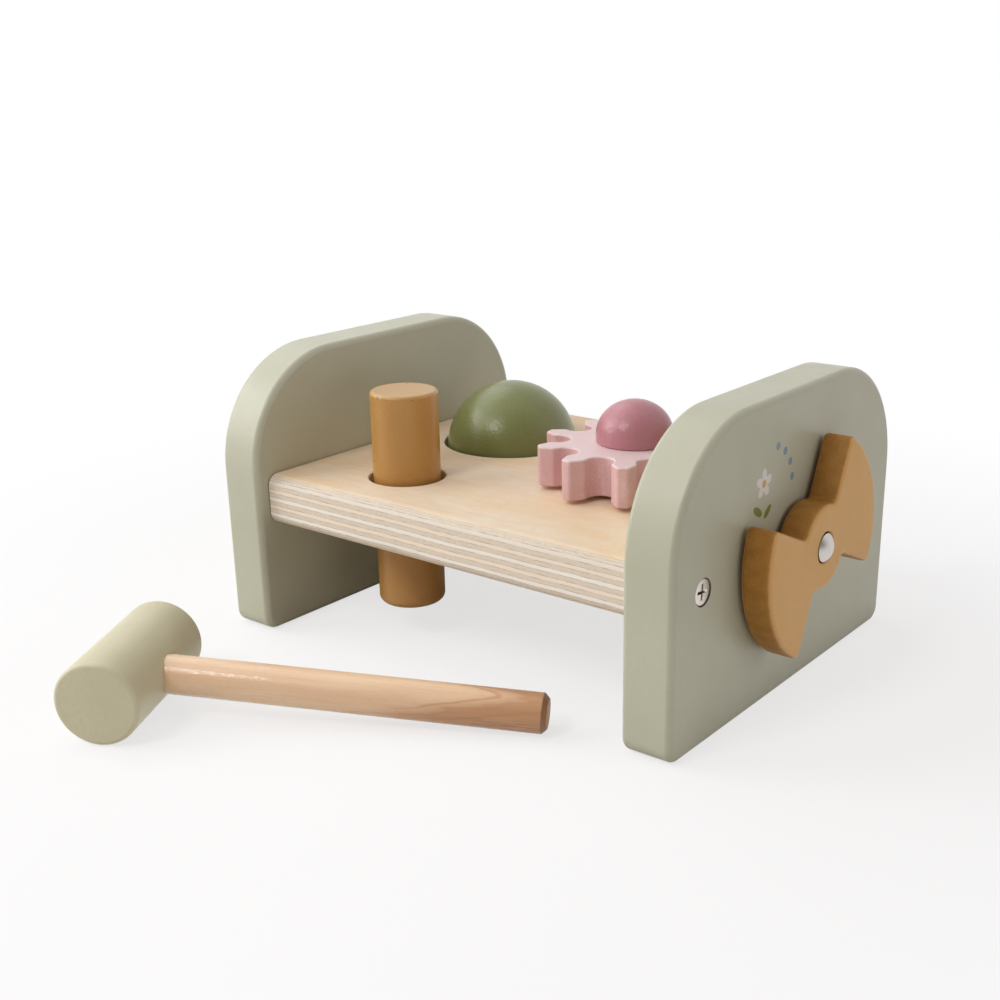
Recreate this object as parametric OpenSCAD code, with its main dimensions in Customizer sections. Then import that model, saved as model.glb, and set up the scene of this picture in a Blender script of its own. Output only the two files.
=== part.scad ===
// Peg pounding bench: a plywood board between two painted end panels, with a peg, a ball,
// a turning gear, a spinner on one end and a mallet that lies in front of it.
// Millimetres, +Z up, +X towards the spinner's panel, +Y towards the back.
// The origin is on the floor, in the middle of the rectangle that bench and mallet cover.

/* [End panels] */
// Length of the bench over both end panels
bench_length = 192.3; // [180:0.1:240]
// Depth of a panel from front to back
panel_depth = 145; // [141:0.1:180]
// Height of a panel
panel_height = 101.3; // [96:0.1:130]
// Thickness of a panel
panel_thick = 17.8; // [14:0.1:20]
// Radius of a panel's two top corners
panel_corner = 40.7; // [10:0.1:42]
// Radius of a panel's two bottom corners
foot_corner = 5.3; // [4:0.1:10]
// Rounding of a panel's long edges
panel_round = 2.1; // [1:0.1:3.9]

/* [Board] */
// Thickness of the plywood board
board_thick = 18.1; // [16:0.1:22]
// Depth of the board from front to back
board_depth = 137.1; // [130:0.1:139]
// Height of the board's underside over the floor
board_base = 41.2; // [38:0.1:50]
// How far the board's centre line lies behind that of the panels
board_back = 1.2; // [0:0.1:2]
// Rounding of the board's front and back edges
board_round = 4; // [1:0.1:7]
// Chamfer round the mouths of the peg's and the ball's holes
mouth_chamfer = 0.5; // [0.2:0.1:0.8]

/* [Peg] */
// Place of the peg's and the ball's holes along the bench
hole_x = -37; // [-42:0.1:-34]
// Place of the peg from front to back
peg_y = -38.2; // [-42:0.1:-36]
// Diameter of the peg
peg_d = 24; // [20:0.1:26]
// Length of the peg
peg_length = 78.3; // [65:0.1:85]
// Height of the peg's foot over the floor
peg_foot_z = 12.3; // [5:0.1:20]
// Rounding of the peg's top edge
peg_top_round = 1.3; // [0.5:0.1:3]
// Rounding of the peg's foot edge
peg_foot_round = 2.6; // [0.5:0.1:4]
// Gap all round between the peg and its hole
peg_hole_gap = 1.7; // [1.2:0.1:1.9]

/* [Ball] */
// Place of the ball from front to back
ball_y = 21.8; // [18:0.1:24]
// Diameter of the ball
ball_d = 50; // [46:0.1:51]
// How far the ball's centre lies below the board's top
ball_sink = 2; // [0:0.1:4]
// Gap all round between the ball and its hole
ball_hole_gap = 1.2; // [1:0.1:1.4]
// Thickness of the cord of the two rubber rings
ring_cord_d = 4; // [3.4:0.1:4.6]

/* [Gear] */
// Place of the gear along the bench
gear_x = 34.5; // [32:0.1:38]
// Number of teeth
gear_teeth = 10; // [8:1:11]
// Turn of the first tooth from +X, in degrees
gear_turn = 9; // [0:1:36]
// Radius of the gear over its teeth
gear_r = 33.5; // [31:0.1:36]
// Radius of the gear at the bottom of its valleys
valley_r = 22.3; // [20:0.1:23.5]
// Radius at which a tooth starts to widen
neck_r = 26.2; // [25.4:0.1:27]
// Width of a tooth where it starts to widen
neck_w = 7.4; // [6:0.1:8]
// Radius at which a tooth is widest
shoulder_r = 28.8; // [28:0.1:29.4]
// Greatest width of a tooth
shoulder_w = 8.6; // [8:0.1:10]
// Width of a tooth's flat tip
tip_w = 3.8; // [3:0.1:6]
// Thickness of the gear
gear_thick = 13.8; // [10:0.1:16]
// Height of the gear over the board
gear_lift = 1.5; // [1:0.1:3]
// Diameter of the knob's ball
knob_d = 26.8; // [24:0.1:30]
// Height of the centre of the knob's ball over its flat foot
knob_rise = 1.1; // [0:0.1:4]

/* [Spinner] */
// Radius of the spinner over its blades
spinner_r = 36.7; // [30:0.1:40]
// Radius of the spinner's hub
hub_r = 14.3; // [10:0.1:18]
// Thickness of the spinner
spinner_thick = 10.3; // [8:0.1:14]
// Gap between the spinner and its panel
spinner_lift = 1.2; // [0.8:0.1:3]
// Angle that each blade spans, in degrees
blade_span = 90; // [60:1:110]
// Angle from +Y to the first blade's lower edge, in degrees
blade_turn = -24; // [-90:1:90]
// Rounding of the rims of blades and hub
spinner_round = 1.6; // [0.5:0.1:3]
// Diameter of the axle's smooth shoulder
axle_d = 6; // [5:0.1:7]
// Diameter of the axle's domed head
axle_head_d = 9.5; // [8.5:0.1:12]
// Height of the axle head's dome
axle_dome = 2.2; // [1:0.1:3]

/* [Screws and dowels] */
// Place of the panel screws, either side of the panel's middle
screw_y = 56; // [54:0.1:60]
// Height of screws, dowels and axle over the board's mid-height
fixing_rise = 0.7; // [-1:0.1:1]
// Length of a panel screw
screw_length = 45; // [35:0.1:46]
// Diameter of a screw's thread
screw_d = 4.4; // [3.5:0.1:5]
// Diameter of a screw's head
screw_head_d = 8.2; // [7.4:0.1:10]
// Place of the dowels, either side of the panel's middle
dowel_y = 30; // [26:0.1:34]
// Diameter of a dowel
dowel_d = 6; // [5:0.1:8]
// Length of a dowel
dowel_length = 20; // [16:0.1:22]

/* [Mallet] */
// Place of the mallet head's centre along the bench
mallet_x = -65.7; // [-75:0.1:-60]
// Place of the mallet head's centre, from front to back
mallet_y = -141.4; // [-170:0.1:-141]
// Turn of the mallet's handle from +X, in degrees
mallet_turn = 29.3; // [0:0.1:29.5]
// Diameter of the mallet's head
head_d = 27.8; // [24:0.1:34]
// Length of the mallet's head
head_length = 52.8; // [45:0.1:65]
// Rounding of the mallet head's edges
head_round = 1.6; // [0.5:0.1:3]
// Diameter of the mallet's handle
handle_d = 13; // [11:0.1:15]
// Reach of the handle from the head's centre to its end
handle_reach = 136.5; // [110:0.1:137]
// Chamfer of the handle's end
handle_chamfer = 1.6; // [0.5:0.1:3]

/* [Hidden] */
$fn = 96;

// Gap round a screw, a dowel or a glued end in its hole
fixed_gap = 0.05;
// Gap round a piece that turns or slides
running_gap = 0.08;
// Gap between two flat faces that slide on each other
thrust_gap = 0.1;
// Gap between the ball and the ring that carries it
seat_gap = 0.1;
// Overrun of every cut past its face
over = 1;

// Faces of the panels and the board
outer_x = bench_length / 2;
inner_x = outer_x - panel_thick;
board_mid = board_base + board_thick / 2;
board_top = board_base + board_thick;
fixing_z = board_mid + fixing_rise;

// Screw: straight rim of the head, sinking below the face, gap round the head, point
head_rim = 0.3;
screw_sunk = 0.4;
head_gap = 0.35;
screw_point = 5;
point_r = 0.4;
// Cross recess in a screw's head: span, width of an arm, depth and turn in degrees
recess_span = 4.8;
recess_w = 1.1;
recess_depth = 1.5;
recess_turn = 10;
dowel_chamfer = 0.6;

// Rings round the peg and under the ball, halfway up the board
peg_ring_r = peg_d / 2 + running_gap + ring_cord_d / 2;
ball_z = board_top - ball_sink;
ball_reach = ball_d / 2 + seat_gap + ring_cord_d / 2;
ball_ring_r = sqrt(pow(ball_reach, 2) - pow(ball_z - board_mid, 2));

// Bush on which the gear turns, washer under the gear and knob on top
bush_r = 4;
gear_washer_r = 9;
gear_z = board_top + gear_lift;
knob_z = gear_z + gear_thick + thrust_gap;
knob_grip = 9;
gear_screw_z = board_base + screw_sunk;
gear_screw_length = knob_z + knob_grip - gear_screw_z;
// How far a tooth's corners are softened along each of their sides
tooth_soft = 0.9;
// Points on each softened corner and on each valley
corner_steps = 4;
valley_steps = 12;

// Spinner: faces, counterbore, and the axle that holds it
spinner_back_x = outer_x + spinner_lift;
spinner_front_x = spinner_back_x + spinner_thick;
counterbore_gap = 0.45;
counterbore_depth = 3.4;
axle_head_h = 3.3;
axle_seat_x = spinner_front_x - counterbore_depth + thrust_gap;
axle_thread_length = 42;
spinner_washer_r = 8;

// Tilt at which the mallet's head and the end of its handle both lie on the floor
handle_line = handle_reach - handle_chamfer;
handle_lean = asin(head_d / 2 / norm([handle_line, handle_d / 2])) - atan2(handle_d / 2, handle_line);
// How far the handle goes past the head's centre in its blind hole
handle_seat = 6;

// Middle of the rectangle that bench and mallet cover
mallet_front_y = mallet_y - head_round
    - (head_length / 2 - head_round) * cos(mallet_turn)
    - (head_d / 2 - head_round) * sin(mallet_turn);
set_x = (axle_seat_x + axle_head_h + axle_dome - outer_x) / 2;
set_y = (panel_depth / 2 + mallet_front_y) / 2;

// Moves a piece from the bench's own middle to the middle of the whole set
module in_set() {
    translate([-set_x, -set_y, 0])
        children();
}

// Quarter of a disc, from the origin to +X and +Y
module quarter_disc(r) {
    intersection() {
        circle(r);
        square(r);
    }
}

// Half section of a turned or edged piece: reach along X, height along Y, rounded outer corners
module half_section(reach, height, low_round, high_round) {
    square([reach - low_round, low_round]);
    translate([reach - low_round, low_round])
        mirror([0, 1])
            quarter_disc(low_round);
    translate([0, low_round])
        square([reach, height - low_round - high_round]);
    translate([0, height - high_round])
        square([reach - high_round, high_round]);
    translate([reach - high_round, height - high_round])
        quarter_disc(high_round);
}

// Corner of a panel blank that lies flat: a quarter disc with a rounded rim
module panel_turn(reach) {
    rotate_extrude(angle = 90)
        half_section(reach, panel_thick, panel_round, panel_round);
}

// Straight rim of a panel blank that lies flat, from the origin along -Y
module panel_run(reach, run) {
    rotate([90, 0, 0])
        linear_extrude(run)
            half_section(reach, panel_thick, panel_round, panel_round);
}

// Panel blank that lies flat: across along X, height along Y, outer face up
module panel_blank() {
    top_half = panel_depth / 2 - panel_corner;
    foot_half = panel_depth / 2 - foot_corner;
    top_y = panel_height - panel_corner;
    for (side = [0, 1])
        mirror([side, 0, 0]) {
            translate([top_half, top_y, 0])
                panel_turn(panel_corner);
            translate([top_half, top_y, 0])
                panel_run(panel_corner, top_y - foot_corner);
            translate([foot_half, foot_corner, 0])
                rotate([0, 0, -90])
                    panel_turn(foot_corner);
        }
    translate([-top_half, top_y, 0])
        rotate([0, 0, 90])
            panel_run(panel_corner, 2 * top_half);
    translate([foot_half, foot_corner, 0])
        rotate([0, 0, -90])
            panel_run(foot_corner, 2 * foot_half);
    translate([-top_half, foot_corner, 0])
        cube([2 * top_half, top_y - foot_corner, panel_thick]);
}

// Countersunk screw, its head's face on z = 0 and its point down
module screw(length) {
    head_r = screw_head_d / 2;
    shank_r = screw_d / 2;
    difference() {
        rotate_extrude()
            polygon([
                [0, 0], [head_r, 0], [head_r, -head_rim],
                [shank_r, shank_r - head_r - head_rim],
                [shank_r, screw_point - length],
                [point_r, -length], [0, -length]
            ]);
        rotate(recess_turn)
            for (turn = [0, 90])
                rotate(turn)
                    translate([-recess_span / 2, -recess_w / 2, -recess_depth])
                        cube([recess_span, recess_w, recess_depth + over]);
    }
}

// Hole that takes the same screw, with its countersink
module screw_hole(length) {
    mouth_r = screw_head_d / 2 + head_gap;
    hole_r = screw_d / 2 + fixed_gap;
    mouth_z = head_gap - head_rim - 2 * fixed_gap;
    rotate_extrude()
        polygon([
            [0, screw_sunk + over], [mouth_r, screw_sunk + over],
            [mouth_r, mouth_z],
            [hole_r, mouth_z + hole_r - mouth_r],
            [hole_r, -length - fixed_gap], [0, -length - fixed_gap]
        ]);
}

// Places panel screws, or their holes, at the right end
module at_panel_screws() {
    for (y = [-screw_y, screw_y])
        translate([outer_x - screw_sunk, y, fixing_z])
            rotate([0, 90, 0])
                children();
}

// Dowels at the right end, half in the panel and half in the board
module dowel_pair(gap) {
    length = dowel_length + 2 * gap;
    for (y = [-dowel_y, dowel_y])
        translate([inner_x - length / 2, y, fixing_z])
            rotate([0, 90, 0])
                rotate_extrude()
                    dowel_section(dowel_d / 2 + gap, length);
}

// Half section of a dowel with chamfered ends
module dowel_section(r, length) {
    polygon([
        [0, 0], [r - dowel_chamfer, 0], [r, dowel_chamfer],
        [r, length - dowel_chamfer], [r - dowel_chamfer, length], [0, length]
    ]);
}

// What is drilled at the right end through panel and board
module end_holes() {
    at_panel_screws()
        screw_hole(screw_length);
    dowel_pair(fixed_gap);
}

// Hole for the axle's thread, from the right panel's face into the board
module axle_hole() {
    translate([outer_x - axle_thread_length - fixed_gap, 0, fixing_z])
        rotate([0, 90, 0])
            cylinder(h = axle_thread_length + fixed_gap + over, r = screw_d / 2 + fixed_gap);
}

// Through hole in the board with chamfered mouths and a square groove halfway up
module ring_hole(hole_r, ring_r) {
    reach = board_thick + 2 * over;
    groove_h = ring_cord_d + 2 * fixed_gap;
    translate([0, 0, board_base - over])
        cylinder(h = reach, r = hole_r);
    translate([0, 0, board_mid - groove_h / 2])
        cylinder(h = groove_h, r = ring_r + groove_h / 2);
    for (side = [0, 1])
        translate([0, 0, board_mid])
            mirror([0, 0, side])
                translate([0, 0, board_thick / 2 - mouth_chamfer])
                    cylinder(h = mouth_chamfer + over, r1 = hole_r, r2 = hole_r + mouth_chamfer + over);
}

// Hole of the gear's screw, from the board's underside up into the knob
module gear_screw_hole() {
    translate([gear_x, 0, gear_screw_z])
        mirror([0, 0, 1])
            screw_hole(gear_screw_length);
}

// Rubber ring halfway up the board
module grip_ring(ring_r) {
    translate([0, 0, board_mid])
        rotate_extrude()
            translate([ring_r, 0])
                circle(d = ring_cord_d);
}

// Unit vector from one point to another
function towards(from, to) = (to - from) / norm(to - from);

// Points of a softened corner: a curve that leaves and meets its sides one cut from the corner
function soft_corner(before, corner, after, cut) = [
    for (step = [0:corner_steps])
        let (
            share = step / corner_steps,
            start = corner + cut * towards(corner, before),
            end = corner + cut * towards(corner, after)
        )
        pow(1 - share, 2) * start + 2 * share * (1 - share) * corner + pow(share, 2) * end
];

// Point of the gear's outline in a tooth's own direction, turned to the angle
function turned(point, angle) = [
    point.x * cos(angle) - point.y * sin(angle),
    point.x * sin(angle) + point.y * cos(angle)
];

// One tooth along +X, from the neck on its right to the neck on its left
function tooth_points() =
    let (
        neck = [neck_r, -neck_w / 2],
        shoulder = [shoulder_r, -shoulder_w / 2],
        tip = [gear_r, -tip_w / 2],
        flip = [1, -1],
        other_tip = [tip.x * flip.x, tip.y * flip.y],
        other_shoulder = [shoulder.x * flip.x, shoulder.y * flip.y],
        other_neck = [neck.x * flip.x, neck.y * flip.y]
    )
    concat(
        [neck],
        soft_corner(neck, shoulder, tip, tooth_soft),
        soft_corner(shoulder, tip, other_tip, tooth_soft),
        soft_corner(tip, other_tip, other_shoulder, tooth_soft),
        soft_corner(other_tip, other_shoulder, other_neck, tooth_soft),
        [other_neck]
    );

// Valley along +X: an arc from one neck through the valley's bottom to the next neck
function valley_points() =
    let (
        neck = turned([neck_r, neck_w / 2], -180 / gear_teeth),
        centre = (pow(norm(neck), 2) - pow(valley_r, 2)) / (2 * (neck.x - valley_r)),
        arc_r = centre - valley_r,
        half_arc = atan2(-neck.y, centre - neck.x)
    )
    [
        for (step = [1:valley_steps - 1])
            let (angle = 180 + half_arc * (1 - 2 * step / valley_steps))
            [centre + arc_r * cos(angle), arc_r * sin(angle)]
    ];

// Whole outline of the gear
function gear_points() =
    let (pitch = 360 / gear_teeth)
    [
        for (tooth = [0:gear_teeth - 1])
            let (angle = gear_turn + pitch * tooth)
            each concat(
                [for (point = tooth_points()) turned(point, angle)],
                [for (point = valley_points()) turned(point, angle + pitch / 2)]
            )
    ];

// Places a spinner piece: its axis along +X, from the panel's outer face
module on_spinner_axis(x) {
    translate([x, 0, fixing_z])
        rotate([90, 0, 90])
            children();
}

// Places a mallet piece: the head's centre at the origin, the handle's way along +X, leaning down
module in_mallet(lean) {
    translate([mallet_x, mallet_y, head_d / 2])
        rotate([0, lean, mallet_turn])
            children();
}

// Handle along +X from inside the head, with a chamfered end
module handle_rod(gap) {
    r = handle_d / 2 + gap;
    length = handle_seat + gap + handle_reach;
    translate([-handle_seat - gap, 0, 0])
        rotate([0, 90, 0])
            rotate_extrude()
                polygon([
                    [0, 0], [r, 0], [r, length - handle_chamfer],
                    [r - handle_chamfer, length], [0, length]
                ]);
}

module left_end_panel() {
    color([0.74, 0.74, 0.66])
        in_set()
            mirror([1, 0, 0])
                difference() {
                    translate([inner_x, 0, 0])
                        rotate([90, 0, 90])
                            panel_blank();
                    end_holes();
                }
}

module right_end_panel() {
    color([0.7, 0.69, 0.6])
        in_set()
            difference() {
                translate([inner_x, 0, 0])
                    rotate([90, 0, 90])
                        panel_blank();
                end_holes();
                axle_hole();
            }
}

module bench_board() {
    color([0.93, 0.86, 0.77])
        in_set()
            difference() {
                translate([-inner_x, board_back, board_base])
                    rotate([90, 0, 90])
                        linear_extrude(2 * inner_x)
                            for (side = [0, 1])
                                mirror([side, 0])
                                    half_section(board_depth / 2, board_thick, board_round, board_round);
                translate([hole_x, peg_y, 0])
                    ring_hole(peg_d / 2 + peg_hole_gap, peg_ring_r);
                translate([hole_x, ball_y, 0])
                    ring_hole(ball_d / 2 + ball_hole_gap, ball_ring_r);
                for (side = [0, 1])
                    mirror([side, 0, 0])
                        end_holes();
                axle_hole();
                gear_screw_hole();
            }
}

module left_panel_screws() {
    color([0.75, 0.7, 0.66])
        in_set()
            mirror([1, 0, 0])
                at_panel_screws()
                    screw(screw_length);
}

module right_panel_screws() {
    color([0.75, 0.7, 0.66])
        in_set()
            at_panel_screws()
                screw(screw_length);
}

module left_dowels() {
    color([0.85, 0.72, 0.55])
        in_set()
            mirror([1, 0, 0])
                dowel_pair(0);
}

module right_dowels() {
    color([0.85, 0.72, 0.55])
        in_set()
            dowel_pair(0);
}

module peg() {
    color([0.72, 0.52, 0.28])
        in_set()
            translate([hole_x, peg_y, peg_foot_z])
                rotate_extrude()
                    half_section(peg_d / 2, peg_length, peg_foot_round, peg_top_round);
}

module peg_grip_ring() {
    color([0.12, 0.11, 0.1])
        in_set()
            translate([hole_x, peg_y, 0])
                grip_ring(peg_ring_r);
}

module ball() {
    color([0.47, 0.51, 0.31])
        in_set()
            translate([hole_x, ball_y, ball_z])
                sphere(d = ball_d);
}

module ball_grip_ring() {
    color([0.12, 0.11, 0.1])
        in_set()
            translate([hole_x, ball_y, 0])
                grip_ring(ball_ring_r);
}

module gear_wheel() {
    color([0.87, 0.74, 0.74])
        in_set()
            translate([gear_x, 0, gear_z])
                difference() {
                    linear_extrude(gear_thick)
                        polygon(gear_points());
                    translate([0, 0, -over])
                        cylinder(h = gear_thick + 2 * over, r = bush_r + running_gap);
                }
}

module gear_knob() {
    color([0.76, 0.48, 0.52])
        in_set()
            difference() {
                translate([gear_x, 0, knob_z + knob_rise])
                    sphere(d = knob_d);
                translate([gear_x, 0, knob_z - knob_d])
                    cylinder(h = knob_d, r = knob_d);
                gear_screw_hole();
            }
}

module gear_bush() {
    color([0.8, 0.8, 0.82])
        in_set()
            difference() {
                translate([gear_x, 0, board_top])
                    cylinder(h = knob_z - board_top, r = bush_r);
                gear_screw_hole();
            }
}

module gear_washer() {
    color([0.9, 0.88, 0.85])
        in_set()
            translate([gear_x, 0, board_top])
                difference() {
                    cylinder(h = gear_lift - thrust_gap, r = gear_washer_r);
                    translate([0, 0, -over])
                        cylinder(h = gear_lift + 2 * over, r = bush_r + fixed_gap);
                }
}

module gear_screw() {
    color([0.75, 0.7, 0.66])
        in_set()
            translate([gear_x, 0, gear_screw_z])
                mirror([0, 0, 1])
                    screw(gear_screw_length);
}

module spinner() {
    color([0.7, 0.55, 0.38])
        in_set()
            on_spinner_axis(spinner_back_x)
                difference() {
                    union() {
                        rotate_extrude()
                            half_section(hub_r, spinner_thick, spinner_round, spinner_round);
                        for (turn = [blade_turn, blade_turn + 180])
                            rotate(turn)
                                rotate_extrude(angle = blade_span)
                                    half_section(spinner_r, spinner_thick, spinner_round, spinner_round);
                    }
                    translate([0, 0, -over])
                        cylinder(h = spinner_thick + 2 * over, r = axle_d / 2 + running_gap);
                    translate([0, 0, spinner_thick - counterbore_depth])
                        cylinder(h = counterbore_depth + over, r = axle_head_d / 2 + counterbore_gap);
                }
}

module spinner_washer() {
    color([0.9, 0.88, 0.85])
        in_set()
            on_spinner_axis(outer_x)
                difference() {
                    cylinder(h = spinner_lift - thrust_gap, r = spinner_washer_r);
                    translate([0, 0, -over])
                        cylinder(h = spinner_lift + 2 * over, r = axle_d / 2 + fixed_gap);
                }
}

module spinner_axle() {
    head_r = axle_head_d / 2;
    shoulder_r = axle_d / 2;
    thread_r = screw_d / 2;
    shoulder_z = outer_x - axle_seat_x;
    tip_z = shoulder_z - axle_thread_length;
    dome_r = (pow(head_r, 2) + pow(axle_dome, 2)) / (2 * axle_dome);
    color([0.78, 0.74, 0.7])
        in_set()
            on_spinner_axis(axle_seat_x)
                rotate_extrude() {
                    polygon([
                        [0, tip_z], [point_r, tip_z], [thread_r, tip_z + screw_point],
                        [thread_r, shoulder_z], [shoulder_r, shoulder_z], [shoulder_r, 0],
                        [head_r, 0], [head_r, axle_head_h], [0, axle_head_h]
                    ]);
                    translate([0, axle_head_h + axle_dome - dome_r])
                        intersection() {
                            circle(dome_r);
                            translate([0, dome_r - axle_dome])
                                square([head_r, axle_dome]);
                        }
                }
}

module mallet_head() {
    color([0.75, 0.74, 0.63])
        in_set()
            difference() {
                in_mallet(0)
                    rotate([90, 0, 0])
                        translate([0, 0, -head_length / 2])
                            rotate_extrude()
                                half_section(head_d / 2, head_length, head_round, head_round);
                in_mallet(handle_lean)
                    handle_rod(fixed_gap);
            }
}

module mallet_handle() {
    color([0.86, 0.67, 0.51])
        in_set()
            in_mallet(handle_lean)
                handle_rod(0);
}

left_end_panel();
right_end_panel();
bench_board();
left_panel_screws();
right_panel_screws();
left_dowels();
right_dowels();
peg();
peg_grip_ring();
ball();
ball_grip_ring();
gear_wheel();
gear_knob();
gear_bush();
gear_washer();
gear_screw();
spinner();
spinner_washer();
spinner_axle();
mallet_head();
mallet_handle();
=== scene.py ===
from math import asin, atan2, cos, degrees, pi, radians, sin, tan

import bpy
from mathutils import Matrix, Vector


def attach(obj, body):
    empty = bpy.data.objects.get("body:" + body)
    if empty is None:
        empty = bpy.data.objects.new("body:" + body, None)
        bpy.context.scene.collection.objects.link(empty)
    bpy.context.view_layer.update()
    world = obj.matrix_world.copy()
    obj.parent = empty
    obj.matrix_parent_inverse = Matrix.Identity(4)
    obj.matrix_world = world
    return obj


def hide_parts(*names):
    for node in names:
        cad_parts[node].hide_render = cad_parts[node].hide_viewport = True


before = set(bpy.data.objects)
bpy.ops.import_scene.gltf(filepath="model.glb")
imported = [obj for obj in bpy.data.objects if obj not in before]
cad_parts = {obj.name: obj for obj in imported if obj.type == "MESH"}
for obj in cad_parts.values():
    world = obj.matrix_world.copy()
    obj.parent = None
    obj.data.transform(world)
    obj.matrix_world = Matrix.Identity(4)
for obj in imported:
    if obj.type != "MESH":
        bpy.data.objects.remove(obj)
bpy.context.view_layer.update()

# Lengths are in millimetres in the bench's own frame: its middle at the origin, +Z up, +X to the spinner
MM = 0.001
BENCH_MIDDLE = (-6.85, 49.0734, 0)

# Sizes of the solids
OUTER_X, INNER_X = 96.15, 78.35
PANEL_DEPTH, PANEL_HEIGHT, PANEL_THICK = 145, 101.3, 17.8
PANEL_CORNER, FOOT_CORNER, PANEL_ROUND = 40.7, 5.3, 2.1
BOARD_DEPTH, BOARD_BACK, BOARD_BASE, BOARD_THICK, BOARD_ROUND = 137.1, 1.2, 41.2, 18.1, 4
BOARD_MID = BOARD_BASE + BOARD_THICK / 2
BOARD_TOP = BOARD_BASE + BOARD_THICK
FIXING_Z = BOARD_MID + 0.7
HOLE_X, PEG_Y, BALL_Y = -37, -38.2, 21.8
PEG_R, PEG_LENGTH, PEG_FOOT_Z, PEG_FOOT_ROUND, PEG_TOP_ROUND = 12, 78.3, 12.3, 2.6, 1.3
BALL_R, BALL_Z = 25, BOARD_TOP - 2
PEG_HOLE_R, BALL_HOLE_R = 13.7, 26.2
PEG_GROOVE_R, BALL_GROOVE_R, GROOVE_H = 16.2, 28.3, 4.2
GEAR_X, GEAR_Z, GEAR_THICK, GEAR_TEETH, GEAR_TURN = 34.5, 60.8, 13.8, 10, 9
GEAR_R, VALLEY_R, NECK, SHOULDER, TIP_W = 33.5, 22.3, (26.2, 3.7), (28.8, 4.3), 3.8
NECK_ROUND, SHOULDER_ROUND, TIP_ROUND, GEAR_HOLE_R = 6, 1.9, 1.5, 4.1
KNOB_Z, KNOB_R, KNOB_SIDE, KNOB_RISE, KNOB_ROUND = 74.7, 13.3, 2.8, 11.7, 0.5
KNOB_HOLE_R, KNOB_HOLE_DEPTH = 2.25, 9
SPINNER_X, SPINNER_THICK, SPINNER_R, SPINNER_HOLE_R, HUB_R = 97.35, 10.3, 36.7, 3.1, 14.3
BLADE_TURN, BLADE_SPAN = -24, 90
AXLE_SEAT_X, AXLE_R, AXLE_HEAD_R, AXLE_HEAD_H, AXLE_DOME, AXLE_THREAD = 104.35, 3, 4.75, 3.3, 2.2, 42
AXLE_HOLE_R, AXLE_HOLE_DEPTH = 2.25, 60
COUNTERBORE_R, COUNTERBORE_DEPTH = 5.2, 3.4
SCREW_Y, SCREW_LENGTH, SCREW_R, SCREW_HEAD_R, SCREW_SUNK = 56, 45, 2.2, 4.1, 0.4
GEAR_SCREW_LENGTH = 42.1
HEAD_R, HEAD_LENGTH, HEAD_ROUND = 13.9, 52.8, 1.6
MALLET_MIDDLE, MALLET_TURN, HANDLE_LEAN = (-65.7, -141.4, HEAD_R), 29.3, 3.14874
HANDLE_R, HANDLE_REACH, HANDLE_SEAT, HANDLE_CHAMFER = 6.5, 136.5, 6, 1.6

# Turns a form that stands along +Z so that it lies along +X, its X to +Y and its Y to +Z
ALONG_X = Matrix(((0, 0, 1, 0), (1, 0, 0, 0), (0, 1, 0, 0), (0, 0, 0, 1)))
HALF_TURN = Matrix.Rotation(pi, 4, "Z")
UPSIDE_DOWN = Matrix.Rotation(pi, 4, "X")
IN_BENCH = Matrix.Translation(Vector(BENCH_MIDDLE) * MM)


def at(x, y, z):
    """Move by millimetres, for forms that are still in millimetres."""
    return Matrix.Translation((x, y, z))


def arc(cx, cy, radius, start, end, steps):
    """Points from one angle to another, in degrees, both ends included."""
    angles = [radians(start + (end - start) * i / steps) for i in range(steps + 1)]
    return [(cx + radius * cos(a), cy + radius * sin(a)) for a in angles]


def revolve(profile, count=96):
    """Turns (radius, height) points about Z. A point on the axis closes the form."""
    verts, rings, faces = [], [], []
    turns = [2 * pi * i / count for i in range(count)]
    for radius, height in profile:
        first = len(verts)
        if radius < 1e-6:
            verts.append((0, 0, height))
        else:
            verts += [(radius * cos(t), radius * sin(t), height) for t in turns]
        rings.append(range(first, len(verts)))
    for low, high in zip(rings, rings[1:]):
        for i in range(count):
            j = (i + 1) % count
            corners = (low[i % len(low)], low[j % len(low)], high[j % len(high)], high[i % len(high)])
            corners = tuple(dict.fromkeys(corners))
            if len(corners) > 2:
                faces.append(corners)
    return verts, faces


def rod(radius, length, low, high, steps=8):
    """Profile of a turned rod that stands on z = 0, with rounded rims."""
    foot = arc(radius - low, low, low, -90, 0, steps) if low else [(radius, 0)]
    head = arc(radius - high, length - high, high, 0, 90, steps) if high else [(radius, length)]
    return [(0, 0)] + foot + head + [(0, length)]


def inset(outline, amount):
    """The outline moved inwards, each point along its own normal."""
    moved = []
    for i, (x, y) in enumerate(outline):
        before, after = outline[i - 1], outline[(i + 1) % len(outline)]
        one = Vector((y - before[1], before[0] - x)).normalized()
        two = Vector((after[1] - y, x - after[0])).normalized()
        normal = (one + two).normalized()
        reach = amount / max(0.5, normal.dot(one))
        moved.append((x - normal.x * reach, y - normal.y * reach))
    return moved


def prism(outline, height, low, high, steps=6, crease=0):
    """Slab of an outline that stands on z = 0, with rounded rims that start at its faces with a crease."""
    count = len(outline)
    start = radians(crease)
    turns = [start + (pi / 2 - start) * i / steps for i in range(steps + 1)]
    across = [(1 - sin(t)) / (1 - sin(start)) for t in turns]
    down = [1 - cos(t) / cos(start) for t in turns]
    levels = [(low * a, low * d) for a, d in zip(across, down)]
    levels += [(high * a, height - high * d) for a, d in reversed(list(zip(across, down)))]
    verts, faces = [], []
    for amount, z in levels:
        verts += [(x, y, z) for x, y in inset(outline, amount)]
    for level in range(len(levels) - 1):
        for i in range(count):
            j = (i + 1) % count
            a, b = level * count + i, level * count + j
            faces.append((a, b, b + count, a + count))
    faces.append(tuple(reversed(range(count))))
    faces.append(tuple(range(len(verts) - count, len(verts))))
    return verts, faces


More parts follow.
